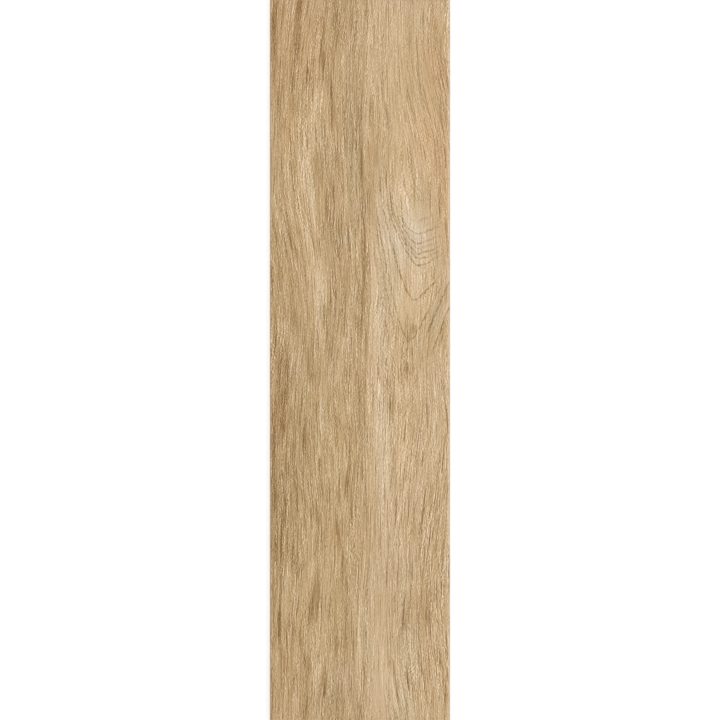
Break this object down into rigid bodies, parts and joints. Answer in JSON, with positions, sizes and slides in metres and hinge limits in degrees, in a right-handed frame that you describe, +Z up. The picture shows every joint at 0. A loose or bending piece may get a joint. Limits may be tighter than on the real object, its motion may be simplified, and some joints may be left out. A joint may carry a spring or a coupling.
{
  "type": "floor tile",
  "caption": "Rectangular plank floor tile of oak-effect porcelain, with bevelled edges round its wear face and a keyed back that beds in adhesive.",
  "frame": {"origin": "middle of the back, on the bedding plane that the back's ribs lie on", "axes": "+X across the plank, +Y along the plank, +Z up out of the wear face"},
  "size_m": [0.3, 1.2, 0.01],
  "materials": {
    "oak_effect_porcelain": "matt, lightly structured, printed with light oak grain; pale beige body on the ground edges and the back"
  },
  "bodies": {
    "root": {"tile": "oak_effect_porcelain"}
  },
  "joints": []
}
